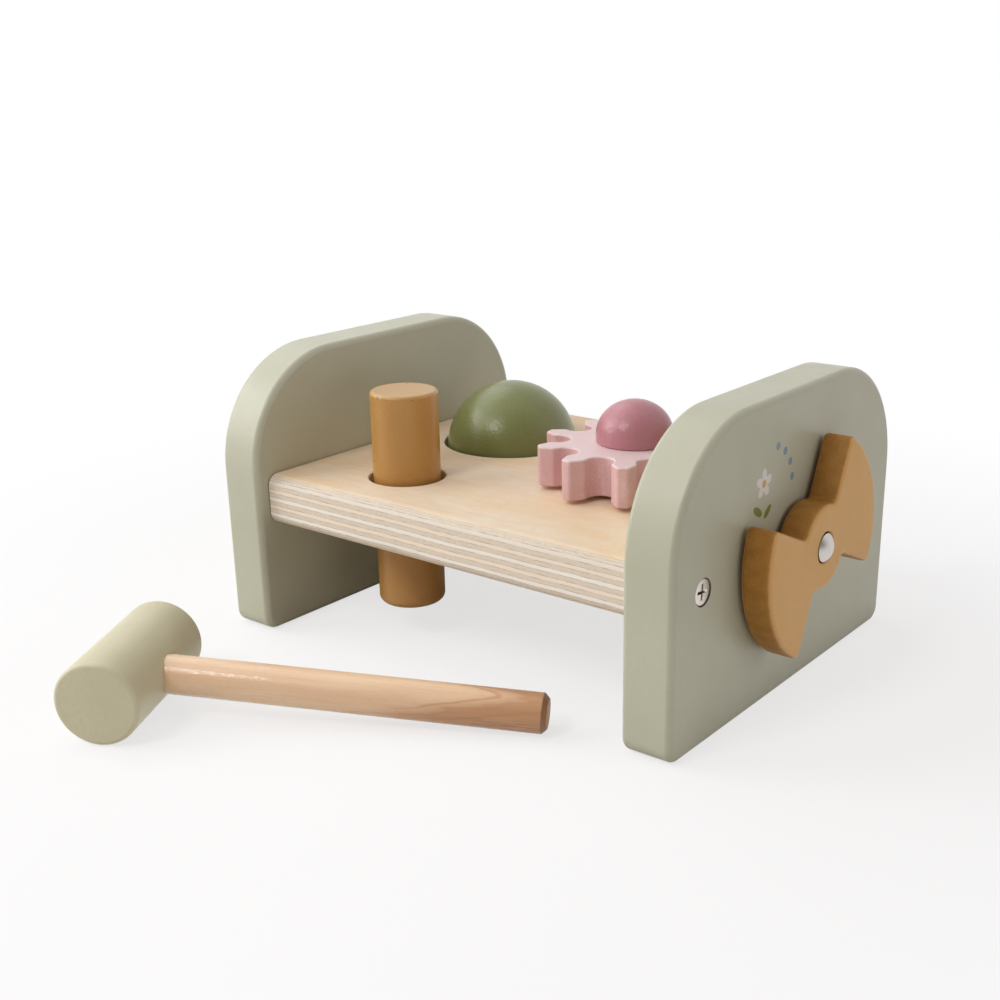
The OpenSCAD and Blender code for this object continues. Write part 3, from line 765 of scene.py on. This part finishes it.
def screw_hole(length):
    """Countersunk hole along +Z that opens at z = 0, a gap wider than the screw and more at its head."""
    gap, head_gap, over = 0.05, 0.35, 2
    mouth = SCREW_HEAD_R + head_gap
    return revolve([
        (0, -length - gap), (SCREW_R + gap, -length - gap),
        (SCREW_R + gap, SCREW_R - SCREW_HEAD_R - head_gap), (mouth, -gap), (mouth, over), (0, over),
    ], 64)


def tapered_bar(length, width, low_length, low_width, depth):
    """Bar along X that narrows downwards, its top a little above z = 0."""
    over = 0.3
    grow = 1 + over / depth
    tall, wide = length * grow - low_length * (grow - 1), width * grow - low_width * (grow - 1)
    verts = []
    for half_x, half_y, z in ((low_length / 2, low_width / 2, -depth), (tall / 2, wide / 2, over)):
        verts += [(-half_x, -half_y, z), (half_x, -half_y, z), (half_x, half_y, z), (-half_x, half_y, z)]
    sides = [(i, (i + 1) % 4, (i + 1) % 4 + 4, i + 4) for i in range(4)]
    return verts, [(3, 2, 1, 0), (4, 5, 6, 7)] + sides


def screw(length):
    """Countersunk screw along +Z with its head's face at z = 0."""
    rim, bevel, point_r, point_length = 0.3, 0.12, 0.4, 5
    profile = [(0, -length), (point_r, -length), (SCREW_R, point_length - length)]
    profile += [(SCREW_R, SCREW_R - SCREW_HEAD_R - rim), (SCREW_HEAD_R, -rim)]
    profile += [(SCREW_HEAD_R, -bevel), (SCREW_HEAD_R - bevel, 0), (0, 0)]
    return revolve(profile, 64)


def recess(place, turn):
    """Meshes of the two arms of a cross recess, at a screw's place and turned on it."""
    bar = tapered_bar(length=5.2, width=0.95, low_length=1.6, low_width=0.5, depth=1.9)
    return [mesh_of(bar, place @ Matrix.Rotation(radians(turn + arm), 4, "Z")) for arm in (0, 90)]


# Materials that several pieces share
plain_panel = panel_material()
nickel = metal_material("nickel", srgb(203, 198, 191), srgb(192, 186, 179), 0.9, 0.38, 0.44, 0.3)
steel = metal_material("bush_steel", srgb(214, 214, 218), srgb(180, 180, 186), (0.4, 0.4, 3), 0.24, 0.38)
nylon = grained_material("washer_nylon", srgb(236, 232, 224), srgb(222, 216, 206), 0.8, 0.38, 0.5, 0.01)
beech = beech_material()
rubber = grained_material("black_rubber", srgb(34, 32, 30), srgb(52, 49, 46), 0.5, 0.55, 0.75, 0.02)

# End panels, each cut for its two screws
right_slab = at(INNER_X, 0, 0) @ ALONG_X
hole_places = [at(OUTER_X, y, FIXING_Z) @ ALONG_X for y in (-SCREW_Y, SCREW_Y)]
panel_outline = slab_outline(0, PANEL_DEPTH, 0, PANEL_HEIGHT, FOOT_CORNER, PANEL_CORNER, 14, 36)
panel_form = prism(panel_outline, PANEL_THICK, PANEL_ROUND, PANEL_ROUND, 10, crease=11)
hole_form = screw_hole(SCREW_LENGTH)
axle_hole = bore(AXLE_HOLE_R, -AXLE_HOLE_DEPTH, 2, 48)
piece(
    "left_panel", mesh_of(panel_form, HALF_TURN @ right_slab), plain_panel,
    "bench", ["left_end_panel"],
    [mesh_of(hole_form, HALF_TURN @ place) for place in hole_places], sharp=10,
)
piece(
    "right_panel", mesh_of(panel_form, right_slab), printed_panel_material(),
    "bench", ["right_end_panel"],
    [mesh_of(hole_form, place) for place in hole_places]
    + [mesh_of(axle_hole, at(OUTER_X, 0, FIXING_Z) @ ALONG_X)], sharp=10,
)

# Board, its ends eased by a hair where they meet the panels
board_outline = slab_outline(
    BOARD_BACK, BOARD_DEPTH, BOARD_BASE, BOARD_TOP, BOARD_ROUND, BOARD_ROUND, 10, 10
)
piece(
    "board", mesh_of(prism(board_outline, 2 * INNER_X, 0.5, 0.5, 3), at(-INNER_X, 0, 0) @ ALONG_X),
    plywood_material(), "bench", ["bench_board"],
    [
        mesh_of(ring_hole(PEG_HOLE_R, PEG_GROOVE_R), at(HOLE_X, PEG_Y, 0)),
        mesh_of(ring_hole(BALL_HOLE_R, BALL_GROOVE_R), at(HOLE_X, BALL_Y, 0)),
        mesh_of(screw_hole(GEAR_SCREW_LENGTH), at(GEAR_X, 0, BOARD_BASE) @ UPSIDE_DOWN),
    ],
)

# Screws in the panels and up through the board into the knob, with painted shade in their recesses, from
# deep to shallow
cross_turn, knob_cross_turn = -5, 20
deep, shallow = 0.9, 0.1
head_x, head_z = OUTER_X - SCREW_SUNK, BOARD_BASE + SCREW_SUNK
head_places = [at(head_x, y, FIXING_Z) @ ALONG_X for y in (-SCREW_Y, SCREW_Y)]
right_nickel = screw_material("right_screw_nickel", "x", head_x - deep, head_x - shallow)
left_nickel = screw_material("left_screw_nickel", "x", deep - head_x, shallow - head_x)
panel_screws = (
    ("right_front_screw", head_places[0], right_nickel, "right_panel_screws"),
    ("right_back_screw", head_places[1], right_nickel, "right_panel_screws"),
    ("left_front_screw", HALF_TURN @ head_places[1], left_nickel, "left_panel_screws"),
    ("left_back_screw", HALF_TURN @ head_places[0], left_nickel, "left_panel_screws"),
)
for name, place, finish, node in panel_screws:
    piece(
        name, mesh_of(screw(SCREW_LENGTH), place), finish, "bench", [node],
        recess(place, cross_turn), sharp=30,
    )
under = at(GEAR_X, 0, head_z) @ UPSIDE_DOWN
piece(
    "knob_screw", mesh_of(screw(GEAR_SCREW_LENGTH), under),
    screw_material("knob_screw_nickel", "z", head_z + deep, head_z + shallow),
    "bench", ["gear_screw"], recess(under, knob_cross_turn), sharp=30,
)

# Peg and ball
peg_form = revolve(rod(PEG_R, PEG_LENGTH, PEG_FOOT_ROUND, PEG_TOP_ROUND, 10), 128)
piece(
    "peg_rod", mesh_of(peg_form, at(HOLE_X, PEG_Y, PEG_FOOT_Z)), peg_material(),
    "peg", ["peg"],
)
ball_profile = arc(0, 0, BALL_R, -90, 90, 80)
ball_profile[0], ball_profile[-1] = (0, -BALL_R), (0, BALL_R)
olive_paint = coated_paint(
    "olive_paint", srgb(128, 136, 80), srgb(121, 127, 73), srgb(67, 68, 33),
    coat=0.27, peel=1.0, depth=0.12, waves=0.015,
)
piece(
    "painted_ball", mesh_of(revolve(ball_profile, 144), at(HOLE_X, BALL_Y, BALL_Z)), olive_paint,
    "ball", ["ball"],
)

# Gear and knob
gear_place, knob_place = at(GEAR_X, 0, GEAR_Z), at(GEAR_X, 0, KNOB_Z)
# The last colour is the painted sheen on the gear's top faces
pink_paint = gear_paint(
    "pale_pink_paint", srgb(238, 203, 202), srgb(217, 175, 176), srgb(175, 116, 115), srgb(238, 214, 213)
)
piece(
    "gear_teeth", mesh_of(prism(gear_outline(), GEAR_THICK, 0.7, 0.7, 5), gear_place), pink_paint,
    "gear", ["gear_wheel"],
    [mesh_of(bore(GEAR_HOLE_R, -1, GEAR_THICK + 1, 64), gear_place)], sharp=50,
)
dome_turns = [pi / 2 * i / 40 for i in range(40)]
knob_profile = [(0, 0)] + arc(KNOB_R - KNOB_ROUND, KNOB_ROUND, KNOB_ROUND, -90, 0, 5)
knob_profile += [(KNOB_R * cos(a), KNOB_SIDE + KNOB_RISE * sin(a)) for a in dome_turns]
knob_profile += [(0, KNOB_SIDE + KNOB_RISE)]
rose_paint = coated_paint(
    "rose_paint", srgb(193, 133, 141), srgb(185, 122, 131), srgb(112, 63, 69),
    coat=0.2, peel=1.1, depth=0.13, waves=0.02,
)
piece(
    "knob", mesh_of(revolve(knob_profile, 128), knob_place), rose_paint,
    "bench", ["gear_knob"], [mesh_of(bore(KNOB_HOLE_R, -1, KNOB_HOLE_DEPTH, 48), knob_place)],
)

# Spinner and its axle
seat, ease = SPINNER_THICK - COUNTERBORE_DEPTH, 0.4
hub_tool = revolve([
    (0, -1), (SPINNER_HOLE_R, -1), (SPINNER_HOLE_R, seat), (COUNTERBORE_R, seat),
    (COUNTERBORE_R, SPINNER_THICK - ease), (COUNTERBORE_R + ease, SPINNER_THICK),
    (COUNTERBORE_R + ease, SPINNER_THICK + 1), (0, SPINNER_THICK + 1),
], 72)
on_axis = at(SPINNER_X, 0, FIXING_Z) @ ALONG_X
ochre_spray = spray_material(
    "ochre_spray", srgb(229, 182, 113), srgb(223, 173, 104), srgb(185, 132, 59), srgb(165, 115, 47)
)
piece(
    "two_blades", mesh_of(prism(spinner_outline(), SPINNER_THICK, 1.6, 1.6, 7), on_axis), ochre_spray,
    "spinner", ["spinner"], [mesh_of(hub_tool, on_axis)],
)
dome_r = (AXLE_HEAD_R**2 + AXLE_DOME**2) / (2 * AXLE_DOME)
dome_turn = degrees(asin(AXLE_HEAD_R / dome_r))
shank = OUTER_X - AXLE_SEAT_X
point = shank - AXLE_THREAD
axle_profile = [
    (0, point), (0.4, point), (SCREW_R, point + 5), (SCREW_R, shank),
    (AXLE_R, shank), (AXLE_R, 0), (AXLE_HEAD_R - 0.1, 0), (AXLE_HEAD_R, 0.1),
]
axle_profile += arc(0, AXLE_HEAD_H + AXLE_DOME - dome_r, dome_r, 90 - dome_turn, 90, 24)[:-1]
axle_profile += [(0, AXLE_HEAD_H + AXLE_DOME)]
piece(
    "axle_cap", mesh_of(revolve(axle_profile), at(AXLE_SEAT_X, 0, FIXING_Z) @ ALONG_X),
    nickel, "bench", ["spinner_axle"],
)

# Mallet: the head lies across its own X, which runs along the handle
lying = at(*MALLET_MIDDLE) @ Matrix.Rotation(radians(MALLET_TURN), 4, "Z")
leaning = Matrix.Rotation(radians(HANDLE_LEAN), 4, "Y")
across = Matrix.Rotation(pi / 2, 4, "X")
head_form = revolve(rod(HEAD_R, HEAD_LENGTH, HEAD_ROUND, HEAD_ROUND, 8), 128)
socket_form = bore(HANDLE_R + 0.12, 0, 40, 96)
piece(
    "mallet_barrel", mesh_of(head_form, lying @ across @ at(0, 0, -HEAD_LENGTH / 2)),
    mallet_paint(), "mallet", ["mallet_head"],
    [mesh_of(socket_form, lying @ leaning @ at(-HANDLE_SEAT - 0.1, 0, 0) @ ALONG_X)],
)
length, soft = HANDLE_SEAT + HANDLE_REACH, 0.35
slope = soft * tan(radians(22.5))
handle_profile = [(0, 0), (HANDLE_R, 0)]
handle_profile += arc(HANDLE_R - soft, length - HANDLE_CHAMFER - slope, soft, 0, 45, 4)
handle_profile += arc(HANDLE_R - HANDLE_CHAMFER - slope, length - soft, soft, 45, 90, 4)
handle_profile += [(0, length)]
piece(
    "mallet_stick", mesh_of(revolve(handle_profile), lying @ leaning @ at(-HANDLE_SEAT, 0, 0) @ ALONG_X),
    handle_material(), "mallet", ["mallet_handle"],
)

# CAD nodes that stay, with their own materials
kept = {
    "left_dowels": beech, "right_dowels": beech, "peg_grip_ring": rubber, "ball_grip_ring": rubber,
    "gear_bush": steel, "gear_washer": nylon, "spinner_washer": nylon,
}
for name, finish in kept.items():
    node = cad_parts[name]
    if not node.material_slots:
        node.data.materials.append(finish)
    for slot in node.material_slots:
        slot.material = finish

# Camera, as the photograph's: picture, focal length and centre in pixels, angles in degrees
PICTURE, SENSOR = 1000, 36
FOCAL, CENTRE_X, CENTRE_Y = 1352.944, 528.875, 539.498
AZIMUTH, ELEVATION, ROLL = 38.1537, 19.3369, -0.8348
STAND = (283.229, -376.166, 197.053)
a, e, r = (radians(angle) for angle in (AZIMUTH, ELEVATION, ROLL))
back = Vector((sin(a) * cos(e), -cos(a) * cos(e), sin(e)))
level = (-back).cross(Vector((0, 0, 1))).normalized()
upright = level.cross(-back)
right = level * cos(r) + upright * sin(r)
up = upright * cos(r) - level * sin(r)
camera = add("camera", bpy.data.cameras.new("camera"))
turn = Matrix((right, up, back)).transposed().to_4x4()
camera.matrix_world = Matrix.Translation((Vector(STAND) + Vector(BENCH_MIDDLE)) * MM) @ turn
camera.data.sensor_width = SENSOR
camera.data.lens = FOCAL / PICTURE * SENSOR
camera.data.shift_x = (PICTURE / 2 - CENTRE_X) / PICTURE
camera.data.shift_y = (CENTRE_Y - PICTURE / 2) / PICTURE
camera.data.clip_start, camera.data.clip_end = 0.01, 50
bpy.context.scene.camera = camera

# Point that all lamps face, in metres
LAMP_AIM = Vector((0, 0.02, 0.05))


def lamp(name, towards, distance, width, height, power):
    """Rectangle of light in a direction from the aim, in metres and watts. The camera doesn't see it."""
    light = bpy.data.lights.new(name, "AREA")
    light.shape = "RECTANGLE"
    light.size, light.size_y = width, height
    light.energy = power
    made = add(name, light)
    towards = Vector(towards).normalized()
    made.location = towards * distance + LAMP_AIM
    made.rotation_mode = "QUATERNION"
    made.rotation_quaternion = towards.to_track_quat("Z", "Y")
    made.visible_camera = False
    return made


# A key from the front, two wide soft ones from the left, and weak ones that fill the rest
lamp("key", (-0.11, -0.71, 0.7), 1.0, 0.3, 0.3, 2.77)
lamp("long_left", (-0.62, 0, 0.75), 1.1, 1.4, 0.6, 3.31)
lamp("left", (-0.85, -0.5, 0.45), 1.2, 0.8, 0.7, 6.38)
fills = (
    lamp("overhead", (-0.1, 0.05, 1), 1.2, 0.8, 0.8, 1.58),
    lamp("right_high", (1, 0.35, 0.4), 1.4, 1.0, 0.8, 2.33),
    lamp("right_low", (1, -0.2, 0.08), 1.5, 1.0, 0.3, 1.25),
    lamp("back", (0.1, 0.9, 0.6), 1.3, 1.0, 0.8, 0.9),
)
# The weak ones leave no highlights of their own
for weak in fills:
    weak.visible_glossy = False

# World: plain white to the camera, and a dim, slightly rosy light on everything
world = bpy.data.worlds.new("studio")
bpy.context.scene.world = world
world.use_nodes = True
room = Nodes(world.node_tree)
sky = room.tree.nodes["Background"]
ray = room.node("ShaderNodeLightPath").outputs
white, ambient, ambient_strength = (1, 1, 1, 1), (1, 0.828, 0.822, 1), 0.2
# What the object mirrors: white behind it and overhead, dark in front, where the room isn't lit
dark_side = Vector((0.55, -0.8, 0.1)).normalized()
facing = room.measure("DOT_PRODUCT", room.node("ShaderNodeTexCoord").outputs["Generated"], dark_side)
mirrored = room.span(facing, 0.1, 0.75, 1.0, 0.2)
strength = room.between(ray["Is Glossy Ray"], ambient_strength, mirrored)
colour = room.blend(ray["Is Glossy Ray"], ambient, white)
room.feed(sky.inputs["Strength"], room.between(ray["Is Camera Ray"], strength, 1.0))
room.feed(sky.inputs["Color"], room.blend(ray["Is Camera Ray"], colour, white))

# Floor: plain and pale, it takes the shadow near the object and is plain white further off
FLOOR_REACH, FLOOR_STEPS, FLOOR_Z = 12.0, 8, -0.0002
coordinates = [FLOOR_REACH * (2 * i / FLOOR_STEPS - 1) for i in range(FLOOR_STEPS + 1)]
verts = [(x, y, FLOOR_Z) for y in coordinates for x in coordinates]
corners = [row * (FLOOR_STEPS + 1) + column for row in range(FLOOR_STEPS) for column in range(FLOOR_STEPS)]
faces = [(i, i + 1, i + FLOOR_STEPS + 2, i + FLOOR_STEPS + 1) for i in corners]
floor_mesh = bpy.data.meshes.new("floor")
floor_mesh.from_pydata(verts, [], faces)
floor = add("floor", floor_mesh)
floor_finish = bpy.data.materials.new("floor")
floor_mesh.materials.append(floor_finish)
floor_finish.use_nodes = True
ground = Nodes(floor_finish.node_tree)
ground.tree.nodes.clear()
ray = ground.node("ShaderNodeLightPath").outputs
where = ground.node("ShaderNodeTexCoord").outputs["Object"]
# From 0 under the bench to 1 beside it, by how far a place is from its middle along X and Y, in millimetres
out = []
for place, middle, start, end in zip(ground.parts(where), BENCH_MIDDLE, (85, 60), (115, 90)):
    off = ground.absolute(ground.minus(place, middle * MM))
    out.append(ground.span(off, start * MM, end * MM))
beside = ground.calc("MAXIMUM", *out)
# Light that bounces off the floor is dimmer from under the bench
bounce = ground.blend(beside, (0.45, 0.41, 0.36, 1), (0.74, 0.72, 0.68, 1))
seen = ground.calc("MAXIMUM", ray["Is Camera Ray"], ray["Is Glossy Ray"])
shade, glow = ground.node("ShaderNodeBsdfDiffuse"), ground.node("ShaderNodeEmission")
ground.feed(shade.inputs["Color"], ground.blend(seen, bounce, (0.96, 0.96, 0.96, 1)))
ground.feed(glow.inputs["Strength"], 1.0)
# The camera finds it partly white near the object and white far off, in metres
far = ground.span(ground.measure("LENGTH", where), 0.16, 0.42, 0.7, 1)
share = ground.times(far, ray["Is Camera Ray"])
# Reflections find it white too, but not under the bench
share = ground.calc("MULTIPLY_ADD", beside, ray["Is Glossy Ray"], share, clamp=True)
mixed = ground.node("ShaderNodeMixShader")
for socket, value in zip(mixed.inputs, (share, shade.outputs[0], glow.outputs[0])):
    ground.feed(socket, value)
ground.feed(ground.node("ShaderNodeOutputMaterial").inputs["Surface"], mixed.outputs[0])

bpy.context.scene.view_settings.view_transform = "Standard"
